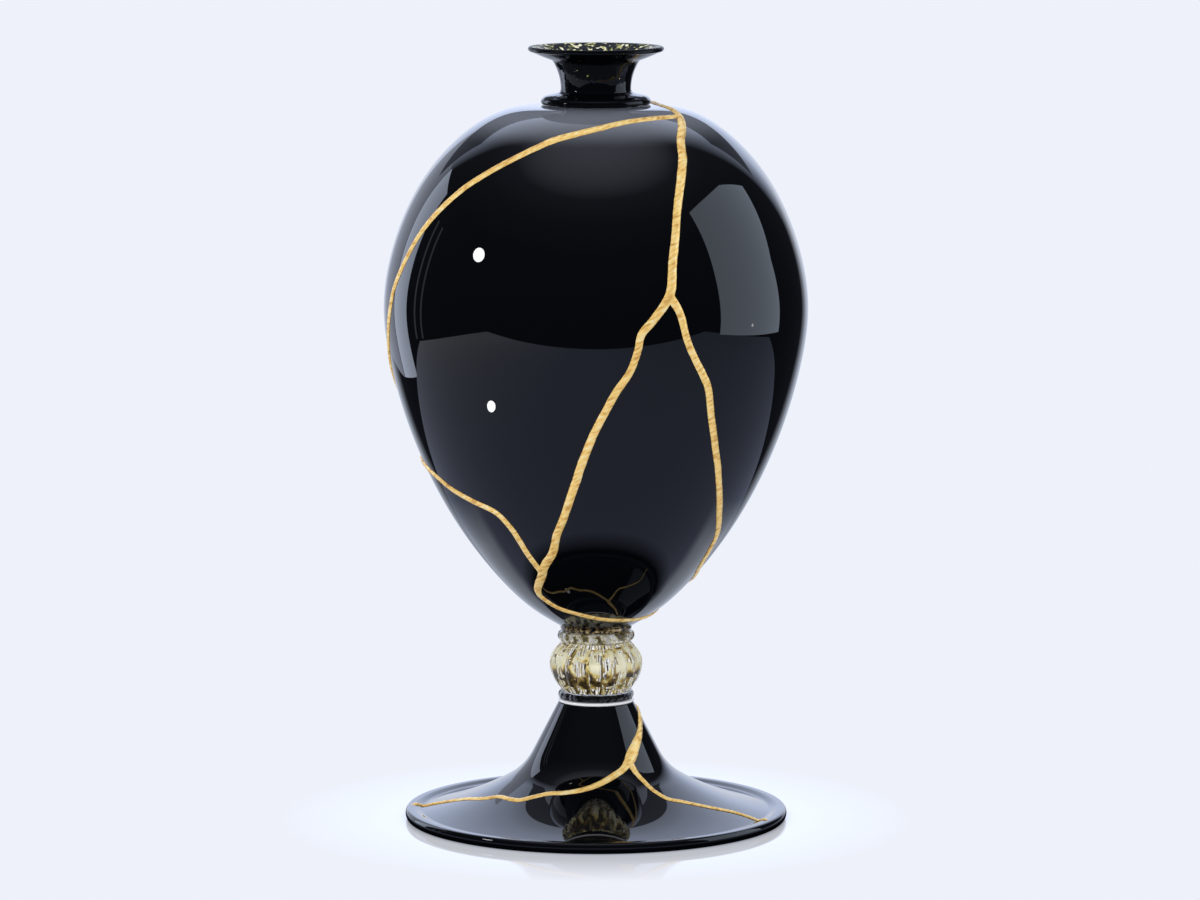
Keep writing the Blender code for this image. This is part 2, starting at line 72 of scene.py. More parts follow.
# The foot: a cone that flares through a fillet into a shallow dish with a folded rim
STEM_RADIUS = 0.0153
FOOT_RIM_THICKNESS = 0.0044
FOOT_RIM_ROUND = 0.0015
FOOT_RIM_FOLD = 0.0026
FOOT_REST_WIDTH = 0.0045
FOOT_EDGE_INSET = 0.0069
FOOT_EDGE_HEIGHT = 0.0034
FOOT_EDGE_TILT = math.radians(11.5)
FOOT_DISH_SHARE = 0.635
FOOT_DISH_TILT = math.radians(31)
FOOT_FILLET = 0.0262
FOOT_WALL = 0.003
FOOT_CROWN = 0.008
FOOT_ARC_STEPS = 24
FOOT_STEP = 0.0012
FOOT_SEGMENTS = 240
FOOT_CEILING_SHARE = 0.6

# The knop and the rings of the stem
KNOP_BELT = 0.0112
KNOP_SEAT_INSET = 0.0015
KNOP_RIBS = 20
KNOP_STEPS = 36
KNOP_RIB_SEGMENTS = 16
KNOP_RIB_DEPTH = 0.0011
RIB_ROUNDNESS = 0.8
KNOP_RING_RIB_DEPTH = 0.0005
KNOP_RING_STEPS = 12
KNOP_RING_RIB_SEGMENTS = 12
RING_BULGE = 0.0007
THREAD_BULGE = 0.0005
RING_SEGMENTS = 160
RING_STEPS = 10
LEAF_DEPTH = 0.0030
LEAF_STEPS = 24
LEAF_WOBBLE = 0.0008

# The body and the neck
BODY_SEAT_RADIUS = 0.016
BODY_WALL = 0.003
BODY_FLOOR = 0.004
BODY_STEPS = 140
BODY_SEGMENTS = 256
HOLLOW_STEPS = 40
NECK_WAIST_RADIUS = 0.0142
NECK_WALL = 0.0027
THROAT_RADIUS = 0.0176
LEDGE_RADIUS = 0.0223
LEDGE_THICKNESS = 0.0038
LEDGE_UNDERCUT = 0.0006
LIP_THICKNESS = 0.002
LIP_RISE = 0.0035
MOUTH_FLARE = 0.004
MOUTH_DEPTH = 0.0035
BORE_RADIUS = NECK_WAIST_RADIUS - NECK_WALL
BODY_TOP_RADIUS = LEDGE_RADIUS - LEDGE_UNDERCUT
WAIST_BOTTOM = NECK_BOTTOM + 1.6 * LEDGE_THICKNESS
NECK_SEGMENTS = 200

# The ovoid between its seat and its top edge: share of the body's height, share of its greatest radius
BODY_OUTLINE = (
    (0.031, 0.304),
    (0.079, 0.433),
    (0.141, 0.562),
    (0.221, 0.695),
    (0.311, 0.810),
    (0.406, 0.901),
    (0.510, 0.970),
    (0.613, 1.000),
    (0.713, 0.966),
    (0.803, 0.888),
    (0.879, 0.778),
    (0.938, 0.644),
    (0.980, 0.493),
    (0.997, 0.360),
)

# The ledge from the waist down: share of the way out to its edge, share of its thickness
LEDGE_OUTLINE = (
    (0.03, 1.35),
    (0.1, 1.2),
    (0.25, 1.13),
    (0.4, 1.06),
    (0.55, 1.0),
    (0.7, 0.92),
    (0.83, 0.8),
    (0.93, 0.6),
    (0.985, 0.42),
    (1.0, 0.3),
    (0.985, 0.12),
)

# The gilded seams, which bed a little into the glass
SEAM_HEIGHT = 0.0006
SEAM_BED = 0.0003
SEAM_STEP = 0.0006
SEAM_ROUNDNESS = 2.6
SEAM_TAPER = 0.6
BRANCHES_TO_A_HEIGHT = 30

# The brush strokes across a seam's back, and how its edges wander. Rates and scales are for a metre.
SEAM_RIPPLE = 0.00007
STROKE_RATE = 2600.0
STROKE_SLANT = 2.4
STROKE_DRIFT = 3.0
STROKE_DRIFT_SCALE = 160.0
PIT_SCALE = 900.0
EDGE_WANDER = 0.06
EDGE_SCALE = 240.0

# The cracks. Each point is an azimuth in degrees, a rise, which is the share of the skin's length from
# its lower edge to its upper one, and the seam's width in metres there.
CRACK_DOWN_THE_FRONT = (
    (10, 0.990, 0.0022),
    (-4, 0.984, 0.0026),
    (-15.5, 0.973, 0.0030),
    (-31, 0.937, 0.0036),
    (-49, 0.880, 0.0036),
    (-55.5, 0.835, 0.0038),
    (-61, 0.788, 0.0036),
    (-64.5, 0.747, 0.0034),
    (-66.5, 0.710, 0.0034),
    (-68.5, 0.668, 0.0036),
    (-70, 0.622, 0.0038),
    (-74.5, 0.587, 0.0034),
    (-78, 0.564, 0.0032),
    (-79, 0.539, 0.0030),
    (-81, 0.507, 0.0030),
    (-84.5, 0.477, 0.0032),
    (-87.5, 0.445, 0.0032),
    (-90.5, 0.412, 0.0032),
    (-94, 0.366, 0.0034),
    (-97, 0.323, 0.0034),
    (-101.5, 0.268, 0.0032),
    (-105.5, 0.232, 0.0032),
    (-109, 0.196, 0.0034),
    (-115.5, 0.165, 0.0036),
    (-120, 0.140, 0.0036),
    (-128, 0.106, 0.0032),
    (-127, 0.088, 0.0030),
    (-119, 0.067, 0.0028),
    (-103.5, 0.052, 0.0026),
    (-84.5, 0.038, 0.0026),
    (-61, 0.030, 0.0026),
    (-39, 0.027, 0.0026),
    (-18, 0.030, 0.0026),
    (4, 0.042, 0.0027),
    (22, 0.058, 0.0028),
    (38, 0.078, 0.0028),
)
CRACK_OVER_THE_SHOULDER = (
    (-34, 0.931, 0.0030),
    (-55, 0.930, 0.0032),
    (-73, 0.922, 0.0034),
    (-88.5, 0.905, 0.0036),
    (-106.5, 0.880, 0.0038),
    (-115, 0.859, 0.0034),
    (-125, 0.828, 0.0032),
    (-134, 0.796, 0.0032),
    (-139.5, 0.773, 0.0032),
    (-147, 0.732, 0.0032),
    (-152.5, 0.693, 0.0030),
    (-157.5, 0.646, 0.0030),
    (-161.5, 0.608, 0.0030),
    (-164, 0.573, 0.0030),
    (-169, 0.525, 0.0028),
    (-177, 0.475, 0.0028),
    (-187, 0.425, 0.0028),
    (-197, 0.382, 0.0028),
    (-207, 0.352, 0.0028),
)
CRACK_DOWN_THE_RIGHT = (
    (-70, 0.618, 0.0036),
    (-67.5, 0.594, 0.0032),
    (-65.5, 0.555, 0.0030),
    (-63, 0.526, 0.0030),
    (-59.5, 0.495, 0.0032),
    (-57.5, 0.474, 0.0032),
    (-55, 0.429, 0.0032),
    (-51, 0.378, 0.0032),
    (-48, 0.348, 0.0032),
    (-44, 0.310, 0.0032),
    (-37, 0.258, 0.0034),
    (-29, 0.213, 0.0032),
    (-26, 0.182, 0.0030),
    (-21, 0.145, 0.0030),
    (-10, 0.120, 0.0028),
    (6, 0.100, 0.0028),
    (22, 0.086, 0.0028),
    (38, 0.078, 0.0028),
)
CRACK_ROUND_THE_LEFT = (
    (-118, 0.150, 0.0030),
    (-121.5, 0.188, 0.0030),
    (-123, 0.215, 0.0030),
    (-125, 0.241, 0.0030),
    (-129.5, 0.267, 0.0030),
    (-139, 0.282, 0.0028),
    (-149.5, 0.297, 0.0028),
    (-160, 0.315, 0.0028),
    (-176, 0.330, 0.0028),
    (-192, 0.338, 0.0028),
    (-207, 0.352, 0.0028),
    (-222, 0.372, 0.0028),
    (-240, 0.390, 0.0028),
    (-257, 0.400, 0.0028),
)
CRACK_UP_THE_BACK = (
    (38, 0.078, 0.0030),
    (54, 0.103, 0.0028),
    (68, 0.145, 0.0028),
    (79, 0.195, 0.0028),
    (88, 0.255, 0.0028),
    (96, 0.325, 0.0028),
    (103, 0.400, 0.0030),
    (105, 0.460, 0.0028),
    (101, 0.530, 0.0028),
    (91, 0.600, 0.0028),
    (80, 0.670, 0.0028),
    (67, 0.735, 0.0028),
    (61, 0.800, 0.0028),
    (58, 0.860, 0.0028),
    (56, 0.915, 0.0028),
    (51, 0.958, 0.0026),
    (36, 0.980, 0.0024),
    (10, 0.990, 0.0022),
)
CRACK_ACROSS_THE_FOOT = (
    (12, 0.968, 0.0024),
    (-4, 0.940, 0.0026),
    (-18, 0.903, 0.0030),
    (-31.5, 0.850, 0.0032),
    (-45.5, 0.791, 0.0042),
    (-52, 0.757, 0.0050),
    (-57, 0.726, 0.0048),
    (-61.5, 0.700, 0.0036),
    (-67.5, 0.670, 0.0028),
    (-77.5, 0.633, 0.0028),
    (-87.5, 0.593, 0.0028),
    (-98.5, 0.553, 0.0028),
    (-110.5, 0.523, 0.0026),
    (-120.5, 0.506, 0.0026),
    (-129, 0.465, 0.0026),
    (-135.5, 0.426, 0.0026),
    (-144, 0.419, 0.0024),
    (-152, 0.413, 0.0024),
    (-161, 0.361, 0.0024),
    (-174, 0.289, 0.0024),
    (-182.5, 0.176, 0.0024),
    (-184, 0.062, 0.0024),
    (-182, 0.014, 0.0024),
)
CRACK_TO_THE_RIGHT_RIM = (
    (-58.5, 0.709, 0.0034),
    (-56, 0.645, 0.0026),
    (-53, 0.587, 0.0024),
    (-51, 0.518, 0.0022),
    (-47, 0.444, 0.0022),
    (-40.5, 0.403, 0.0022),
    (-34, 0.352, 0.0020),
    (-28, 0.292, 0.0020),
    (-22.5, 0.216, 0.0018),
    (-21, 0.136, 0.0016),
    (-23, 0.014, 0.0014),
)

# The glass's own colour, and a grey sheen painted into that colour close to the neck, which sets in and is
# full this far down
BLACK = (0.0012, 0.0014, 0.0020)
PAINTED_SHEEN = (0.14, 0.15, 0.175)
PAINTED_SHEEN_FADE = 0.014
PAINTED_SHEEN_FULL = 0.002

# The height over which the neck's flecks set in
FLECKS_FADE = 0.002

# A radius under this is a point on the axis
GRAIN = 0.00001

# Colours of the studio, linear
WHITE = (1.0, 1.0, 1.0)
PALE = (0.855, 0.880, 0.956)
DARK_ROOM = (0.02, 0.022, 0.03)
TABLE_LEFT = (0.58, 0.63, 0.72)
TABLE = (0.32, 0.36, 0.52)
TABLE_RIGHT = (0.24, 0.28, 0.38)
BOARD = (1.65, 1.85, 2.30)
DIM_BOARD = (0.70, 0.76, 0.94)
STRIPE = (0.30, 0.31, 0.36)
SOFTBOX = (1.22, 1.40, 1.68)
TABLE_BEHIND = (0.80, 0.88, 1.05)
FLAG = (0.16, 0.18, 0.23)

# What the glass mirrors of the dark room and of the pale backdrop: sine of the elevation, colour
ROOM = (
    (0.0, DARK_ROOM),
    (0.5, (0.03, 0.035, 0.045)),
    (0.7, (0.06, 0.065, 0.085)),
    (0.84, (0.12, 0.13, 0.17)),
    (0.935, (0.48, 0.53, 0.64)),
    (1.0, (0.68, 0.74, 0.90)),
)
BACKDROP = (
    (-0.28, (0.50, 0.55, 0.66)),
    (-0.09, (0.85, 0.93, 1.12)),
    (0.05, (1.10, 1.17, 1.36)),
    (0.19, (1.22, 1.40, 1.85)),
    (0.62, (1.15, 1.32, 1.75)),
    (0.76, (0.85, 0.95, 1.20)),
    (0.87, (0.62, 0.68, 0.82)),
)

# The sector of the backdrop: half its width over its distance, and how it spreads overhead. The least
# values keep it off the directions in front of the vase.
BACKDROP_HALF = 0.34
BACKDROP_HALF_FADED = 0.60
BACKDROP_SPREAD = 2.2
LEAST_BACK = 0.001
LEAST_ACROSS = 0.002

# The lit part of the table behind the vase, and the floor's mirror round the foot
BEHIND_HALF = 0.15
BEHIND_HALF_FADED = 0.22
BEHIND_START = 0.03
BEHIND_FULL = 0.06
MIRROR_START = 0.086
MIRROR_END = 0.13
MIRROR_SHARE = 0.4

# Tones of the leaf, the specks and the gold: position on the noise, linear colour
FLECK_TONES = (
    (0.38, (0.10, 0.07, 0.02)),
    (0.46, (0.25, 0.30, 0.07)),
    (0.53, (0.70, 0.62, 0.25)),
    (0.60, (1.0, 0.97, 0.72)),
)
SPECK_TONES = (
    (0.44, BLACK),
    (0.52, (0.10, 0.065, 0.025)),
    (0.60, (0.26, 0.19, 0.08)),
    (0.68, (0.50, 0.42, 0.24)),
)
GOLD_TONES = (
    (0.32, (0.62, 0.33, 0.08)),
    (0.44, (0.92, 0.58, 0.16)),
    (0.56, (1.0, 0.70, 0.24)),
    (0.70, (1.0, 0.82, 0.42)),
)
RING_TONES = (
    (0.40, (0.04, 0.03, 0.01)),
    (0.47, (0.42, 0.32, 0.10)),
    (0.52, (0.95, 0.90, 0.66)),
    (0.57, (1.0, 1.0, 1.0)),
)
LEAF_TONES = (
    (0.40, (0.05, 0.03, 0.01)),
    (0.455, (0.38, 0.25, 0.05)),
    (0.50, (0.92, 0.76, 0.30)),
    (0.55, (1.0, 0.97, 0.74)),
)

# How pale the leaf in the knop is at each share of the knop's height; the paleness at the very bottom is a
# painted glint
LEAF_PALENESS = (
    (0.12, 0.68),
    (0.26, 0.22),
    (0.38, 0.30),
    (0.52, 0.66),
    (0.74, 0.68),
    (0.92, 0.30),
)

# The crystal's faint tint, and the refractive index of all the glass
CRYSTAL_TINT = (1.0, 0.98, 0.90)
GLASS_INDEX = 1.5

# Where the studio's parts stand, in metres, and how strong its lights are. The table is just under the
# floor, and the softbox is an upright panel on the right, drawn by depth and height.
TABLE_LEVEL = -0.001
TABLE_CORNERS = ((-1.25, -0.75), (1.25, -0.75), (1.0, 0.27), (-0.9, 0.30))
TABLE_SPAN = 0.9
TABLE_MIDDLE = 0.42
SOFTBOX_ACROSS = 1.0
SOFTBOX_CORNERS = ((-0.40, 0.02), (0.44, 0.02), (0.44, 0.42), (0.68, 0.86), (0.30, 1.05), (-0.40, 1.12))
BOARD_CORNERS = ((-0.85, 0.49, -0.12), (-0.675, 0.703, -0.07), (-0.675, 0.703, 0.72), (-0.85, 0.49, 0.72))
DIM_BOARD_CORNERS = ((-0.67, 0.71, -0.07), (-0.40, 1.035, 0.03), (-0.40, 1.035, 0.70), (-0.67, 0.71, 0.70))
STRIPE_AZIMUTHS = (-112, -106)
STRIPE_TURN = 0.025
STRIPE_TOP = 0.62
FLAG_ENDS = ((-0.30, 0.32), (0.30, 0.32))
FLAG_LOW = 0.40
FLAG_TOP = 0.57
LAMP_PLACE = (-2.0, -0.65, 1.09)
LAMP_SIZE = (0.30, 0.19)
LAMP_STRENGTH = 24.0
LAMP_IMAGE_PLACE = (-0.307, -0.174, 0.001)
LAMP_IMAGE_RADIUS = 0.017
SPARK_PLACE = (0.98, 0.0, 0.095)
SPARK_SIZE = (0.024, 0.024)
SPARK_STRENGTH = 6.0
AIM_HEIGHT = 0.2
FILL_ENERGY = 1.1
FLOOR_REACH = 40.0
# The colour of the floor's painted shadow close under the foot
PAINTED_FLOOR_SHADOW = (0.30, 0.33, 0.40)


def spline(points, count):
    """Evenly spaced points on the smooth curve through the given ones, with an even change of bend."""
    knots = np.array(points, float)
    steps = np.hypot(*np.diff(knots, axis=0).T)
    places = np.concatenate(([0.0], np.cumsum(steps)))
    size = len(knots)
    rows = np.eye(size)
    turns = np.zeros((size, 2))
    for i in range(1, size - 1):
        before = steps[i - 1]
        after = steps[i]
        rows[i, i - 1 : i + 2] = before, 2 * (before + after), after
        turns[i] = 6 * ((knots[i + 1] - knots[i]) / after - (knots[i] - knots[i - 1]) / before)
    bends = np.linalg.solve(rows, turns)
    curve = []
    for place in np.linspace(0.0, places[-1], count):
        i = min(max(int(np.searchsorted(places, place)) - 1, 0), size - 2)
        step = steps[i]
        back = places[i + 1] - place
        on = place - places[i]
        start = bends[i] * back**3 / (6 * step) + (knots[i] / step - bends[i] * step / 6) * back
        end = bends[i + 1] * on**3 / (6 * step) + (knots[i + 1] / step - bends[i + 1] * step / 6) * on
        curve.append(start + end)
    return np.array(curve)


class Skin:
    """The surface that an outline sweeps round the axis. The outline runs from its lower end up."""

    def __init__(self, outline):
        self.line = np.array(outline, float)
        steps = np.hypot(*np.diff(self.line, axis=0).T)
        self.places = np.concatenate(([0.0], np.cumsum(steps)))
        self.length = self.places[-1]

    def section(self, rise):
        """Radius, height and outward direction at a rise, the share of the outline's length."""
        place = min(max(rise, 0.0), 1.0) * self.length
        radius = np.interp(place, self.places, self.line[:, 0])
        height = np.interp(place, self.places, self.line[:, 1])
        i = min(max(int(np.searchsorted(self.places, place)) - 1, 0), len(self.line) - 2)
        along = self.line[i + 1] - self.line[i]
        out = np.array((along[1], -along[0])) / np.hypot(*along)
        return radius, height, out

    def inset(self, rise, depth):
        """The point of the section that lies this deep under the skin."""
        radius, height, out = self.section(rise)
        return radius - depth * out[0], height - depth * out[1]

    def point(self, azimuth, rise, lift=0.0):
        """The point in space at an azimuth in degrees and a rise, this far off the skin."""
        radius, height, out = self.section(rise)
        far = radius + lift * out[0]
        turn = math.radians(azimuth)
        return np.array((far * math.cos(turn), far * math.sin(turn), height + lift * out[1]))


def body_skin():
    """The body's outer skin, from its seat to the edge under the neck."""
    height = BODY_TOP - BODY_BOTTOM
    points = [(BODY_SEAT_RADIUS, BODY_BOTTOM)]
    for up, out in BODY_OUTLINE:
        points.append((out * BODY_RADIUS, BODY_BOTTOM + up * height))
    points.append((BODY_TOP_RADIUS, BODY_TOP))
    return Skin(spline(points, 401))


def facing(tilt):
    """The outward direction of a surface that climbs towards the axis at this tilt."""
    return np.array((math.sin(tilt), math.cos(tilt)))


def foot_curve(depth, arc_steps):
    """The foot's section this deep under its skin, from the fold up: dish, fillet and cone."""
    edge = np.array((FOOT_RIM_RADIUS - FOOT_EDGE_INSET, FOOT_EDGE_HEIGHT))
    top = np.array((STEM_RADIUS, FOOT_HEIGHT))
    low = facing(FOOT_EDGE_TILT)
    high = facing(FOOT_DISH_TILT)
    dish = FOOT_DISH_SHARE * (edge[0] - top[0]) / (high[0] - low[0])
    dish_centre = edge + dish * low
    bend = dish_centre - dish * high
    reach = top - bend
    lean = reach @ high
    fillet = FOOT_FILLET
    if lean > 0.0:
        fillet = min(fillet, 0.45 * (reach @ reach) / lean)
    fillet_centre = bend + fillet * high
    away = top - fillet_centre
    cone_tilt = math.pi + math.asin(fillet / np.hypot(*away)) - math.atan2(away[1], away[0])
    points = []
    for tilt in np.linspace(FOOT_EDGE_TILT, FOOT_DISH_TILT, arc_steps + 1):
        points.append(dish_centre - (dish + depth) * facing(tilt))
    for tilt in np.linspace(FOOT_DISH_TILT, cone_tilt, arc_steps + 1)[1:]:
        points.append(fillet_centre - (fillet + depth) * facing(tilt))
    points.append(top - depth * facing(cone_tilt))
    return [tuple(point) for point in points]


def foot_line(arc_steps):
    """The foot's upper side, from the top of its rim over the fold to the stem."""
    rim = FOOT_RIM_RADIUS - FOOT_RIM_ROUND
    fold = [(rim, FOOT_RIM_THICKNESS), (rim - FOOT_RIM_FOLD, FOOT_RIM_THICKNESS)]
    return fold + foot_curve(0.0, arc_steps)


def dense(outline, step):
    """The outline with points added so that none of its edges is longer than the step."""
    points = [outline[0]]
    for start, end in zip(outline, outline[1:]):
        parts = max(1, math.ceil(math.dist(start, end) / step))
        for i in range(1, parts + 1):
            share = i / parts
            points.append(tuple(a + (b - a) * share for a, b in zip(start, end)))
    return points


def linked(name, data):
    """A new object in the scene."""
    made = bpy.data.objects.new(name, data)
    bpy.context.scene.collection.objects.link(made)
    return made


def piece(name, points, faces, finish, node):
    """A smooth mesh that rides on the vase and stands for a solid of it."""
    mesh = bpy.data.meshes.new(name)
    mesh.from_pydata(points, [], faces)
    mesh.materials.append(finish)
    mesh.shade_smooth()
    mesh.set_sharp_from_angle(angle=math.radians(40))
    made = linked(name, mesh)
    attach(made, "root")
    if node:
        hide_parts(node)
    return made


def turned(name, outline, segments, finish, node, closed=False, shape=None):
    """A piece turned from its section, which runs down the outer side. A shape changes its points."""
    points = []
    rings = []
    for radius, height in outline:
        count = 1 if radius < GRAIN else segments
        rings.append(range(len(points), len(points) + count))
        for i in range(count):
            azimuth = math.tau * i / segments
            far, level = shape(azimuth, radius, height) if shape else (radius, height)
            points.append((far * math.cos(azimuth), far * math.sin(azimuth), level))
    if closed:
        rings.append(rings[0])
    faces = []
    for upper, lower in zip(rings, rings[1:]):
        for i in range(segments):
            j = (i + 1) % segments
            if len(upper) == 1:
                faces.append((upper[0], lower[i], lower[j]))
            elif len(lower) == 1:
                faces.append((upper[i], lower[0], upper[j]))
            else:
                faces.append((upper[i], lower[i], lower[j], upper[j]))
    return piece(name, points, faces, finish, node)


def add(tree, kind, inputs=None, **settings):
    """A node with its settings and inputs. An input that is given as a socket is linked to it."""
    node = tree.nodes.new(kind)
    for key, value in settings.items():
        setattr(node, key, value)
    for key, value in (inputs or {}).items():
        if isinstance(value, bpy.types.NodeSocket):
            tree.links.new(value, node.inputs[key])
        else:
            node.inputs[key].default_value = value
    return node


def principled(name, colour, **values):
    """A Principled material with plain values on its shader, its tree and the shader."""
    made = bpy.data.materials.new(name)
    made.use_nodes = True
    shader = made.node_tree.nodes["Principled BSDF"]
    shader.inputs["Base Color"].default_value = (*colour, 1.0)
    for key, value in values.items():
        shader.inputs[key.replace("_", " ")].default_value = value
    return made, made.node_tree, shader


def bare(data, name):
    """A new material or world whose tree is empty, and that tree."""
    made = data.new(name)
    made.use_nodes = True
    made.node_tree.nodes.clear()
    return made, made.node_tree


def finish_tree(tree, kind, light):
    """The output that shows this light or shader."""
    target = add(tree, kind)
    tree.links.new(light, target.inputs["Surface"])


def own_place(tree):
    """The place of a point in the object's own metres."""
    return add(tree, "ShaderNodeTexCoord").outputs["Object"]


def own_height(tree):
    """The height of a point in the object's own metres."""
    return add(tree, "ShaderNodeSeparateXYZ", {"Vector": own_place(tree)}).outputs["Z"]


def own_radius(tree):
    """How far a point is from the object's own axis."""
    level = add(tree, "ShaderNodeVectorMath", {0: own_place(tree), 1: (1, 1, 0)}, operation="MULTIPLY")
    return add(tree, "ShaderNodeVectorMath", {0: level.outputs[0]}, operation="LENGTH").outputs["Value"]


def remap(tree, value, start, end, low=0.0, high=1.0, **settings):
    """The value moved from one range to another and held inside it."""
    inputs = {"Value": value, "From Min": start, "From Max": end, "To Min": low, "To Max": high}
    return add(tree, "ShaderNodeMapRange", inputs, **settings).outputs["Result"]


def reckon(tree, operation, first, second=None, **settings):
    """One or two values put together by a sum."""
    inputs = {0: first} if second is None else {0: first, 1: second}
    return add(tree, "ShaderNodeMath", inputs, operation=operation, **settings).outputs[0]


def blend(tree, factor, first, second, **settings):
    """Two colours mixed by a factor."""
    inputs = {"Factor": factor, "A": first, "B": second}
    return add(tree, "ShaderNodeMix", inputs, data_type="RGBA", **settings).outputs["Result"]


def cloud(tree, scale, detail=2.0, stretch=(1.0, 1.0, 1.0), lean=0.0):
    """Smooth noise in the object's own metres. The scale is in lumps to a metre."""
    place = own_place(tree)
    if lean:
        turned_place = {"Vector": place, "Rotation": (0.0, lean, 0.0)}
        place = add(tree, "ShaderNodeMapping", turned_place).outputs["Vector"]
    if stretch != (1.0, 1.0, 1.0):
        place = add(tree, "ShaderNodeMapping", {"Vector": place, "Scale": stretch}).outputs["Vector"]
    made = add(tree, "ShaderNodeTexNoise", {"Vector": place, "Scale": scale, "Detail": detail})
    return made.outputs["Fac"]


def ramp(tree, factor, stops):
    """A colour ramp on a factor. Each stop is a position and a linear colour."""
    made = add(tree, "ShaderNodeValToRGB", {"Fac": factor})
    elements = made.color_ramp.elements
    while len(elements) < len(stops):
        elements.new(0.5)
    for element, (position, colour) in zip(elements, stops):
        element.position = position
        element.color = (*colour, 1.0)
    return made.outputs["Color"]


def roughen(tree, shader, height, distance):
    """Light bent by a height between 0 and 1, where 1 is this many metres."""
    made = add(tree, "ShaderNodeBump", {"Height": height, "Distance": distance})
    tree.links.new(made.outputs["Normal"], shader.inputs["Normal"])


def black_glass_finish():
    """Polished black glass, a little wavy, with a painted grey sheen in its colour on the body close to the
    neck.
    """
    made, tree, shader = principled("black_glass", BLACK, Roughness=0.012, IOR=GLASS_INDEX)
    roughen(tree, shader, cloud(tree, scale=22.0, detail=1.0), distance=0.0002)
    # Painted sheen: the base colour turns from black to grey close to the neck.
    painted_sheen_share = remap(
        tree,
        own_height(tree),
        BODY_TOP - PAINTED_SHEEN_FADE,
        BODY_TOP - PAINTED_SHEEN_FULL,
        interpolation_type="SMOOTHSTEP",
    )
    tree.links.new(ramp(tree, painted_sheen_share, ((0.0, BLACK), (1.0, PAINTED_SHEEN))), shader.inputs["Base Color"])
    return made


def rippled_glass_finish():
    """Black glass drawn into a thin ring, uneven enough to break up what it mirrors."""
    made, tree, shader = principled(
        "rippled_glass", BLACK, Roughness=0.03, IOR=GLASS_INDEX, Specular_IOR_Level=0.25
    )
    roughen(tree, shader, cloud(tree, scale=420.0, detail=2.0), distance=0.012)
    return made


def flecked(name, share_of, **values):
    """Black glass with flecks of leaf under its skin. The share runs from none at 0 to many at 0.2."""
    made, tree, shader = principled(name, BLACK, IOR=GLASS_INDEX, **values)
    specks = reckon(tree, "ADD", cloud(tree, scale=460.0, detail=3.0), share_of(tree))
    leaf = remap(tree, specks, 0.72, 0.75)
    tint = ramp(tree, cloud(tree, scale=480.0, detail=2.0), FLECK_TONES)
    tree.links.new(blend(tree, leaf, (*BLACK, 1.0), tint), shader.inputs["Base Color"])
    roughen(tree, shader, cloud(tree, scale=300.0, detail=2.0), distance=0.00012)
    return made


def neck_share(tree):
    """A few flecks on the neck, none on its ledge."""
    return remap(tree, own_height(tree), WAIST_BOTTOM, WAIST_BOTTOM + FLECKS_FADE, -0.2, 0.01)


def mouth_share(tree):
    """Many flecks in the mouth, none on its edge."""
    inner = LIP_RADIUS - 0.9 * LIP_THICKNESS
    outer = LIP_RADIUS - 0.4 * LIP_THICKNESS
    return remap(tree, own_radius(tree), inner, outer, 0.175, -0.1)


def speckled_glass_finish():
    """The collar's black glass, full of gold-brown specks."""
    made, tree, shader = principled("speckled_glass", BLACK, Roughness=0.08, IOR=GLASS_INDEX)
    tree.links.new(ramp(tree, cloud(tree, scale=700.0, detail=3.0), SPECK_TONES), shader.inputs["Base Color"])
    roughen(tree, shader, cloud(tree, scale=600.0, detail=2.0), distance=0.0003)
    return made


def gold_finish():
    """Satin gold on the seams, brushed on by hand: fine slanting strokes, with painted shade where it meets
    the glass.
    """
    made, tree, shader = principled("gold", (0.95, 0.64, 0.20), Roughness=0.36, Metallic=0.3)
    strokes = cloud(tree, scale=380.0, detail=3.0, stretch=(0.7, 0.7, 2.6), lean=math.radians(28))
    # Painted shade: ambient occlusion darkens the gold's colour where it meets the glass.
    edge = add(tree, "ShaderNodeAmbientOcclusion", {"Distance": 0.0014}, samples=8).outputs["AO"]
    shade = ramp(tree, edge, ((0.55, (0.30, 0.17, 0.07)), (0.9, (1.0, 1.0, 1.0))))
    tone = blend(tree, 1.0, ramp(tree, strokes, GOLD_TONES), shade, blend_type="MULTIPLY")
    tree.links.new(tone, shader.inputs["Base Color"])
    roughen(tree, shader, strokes, distance=0.0004)
    return made


def crystal_finish():
    """Clear crystal, faintly yellow from the leaf that it holds."""
    made, tree, shader = principled(
        "crystal", CRYSTAL_TINT, Roughness=0.0, IOR=GLASS_INDEX, Transmission_Weight=1.0
    )
    roughen(tree, shader, cloud(tree, scale=260.0, detail=2.0), distance=0.00012)
    return made


def leafed_crystal_finish():
    """The ribbed ring's crystal, with gold-brown patches of leaf in it."""
    made, tree, shader = principled(
        "leafed_crystal", CRYSTAL_TINT, Roughness=0.03, IOR=GLASS_INDEX, Transmission_Weight=0.8
    )
    tree.links.new(ramp(tree, cloud(tree, scale=330.0, detail=3.0), RING_TONES), shader.inputs["Base Color"])
    roughen(tree, shader, cloud(tree, scale=420.0, detail=2.0), distance=0.0005)
    return made


def thread_finish():
    """The clear thread under the black ring, which gathers the light."""
    made, tree, shader = principled(
        "clear_thread", (1.0, 1.0, 1.0), Roughness=0.15, IOR=GLASS_INDEX, Transmission_Weight=0.25
    )
    roughen(tree, shader, cloud(tree, scale=500.0, detail=2.0), distance=0.00008)
    return made


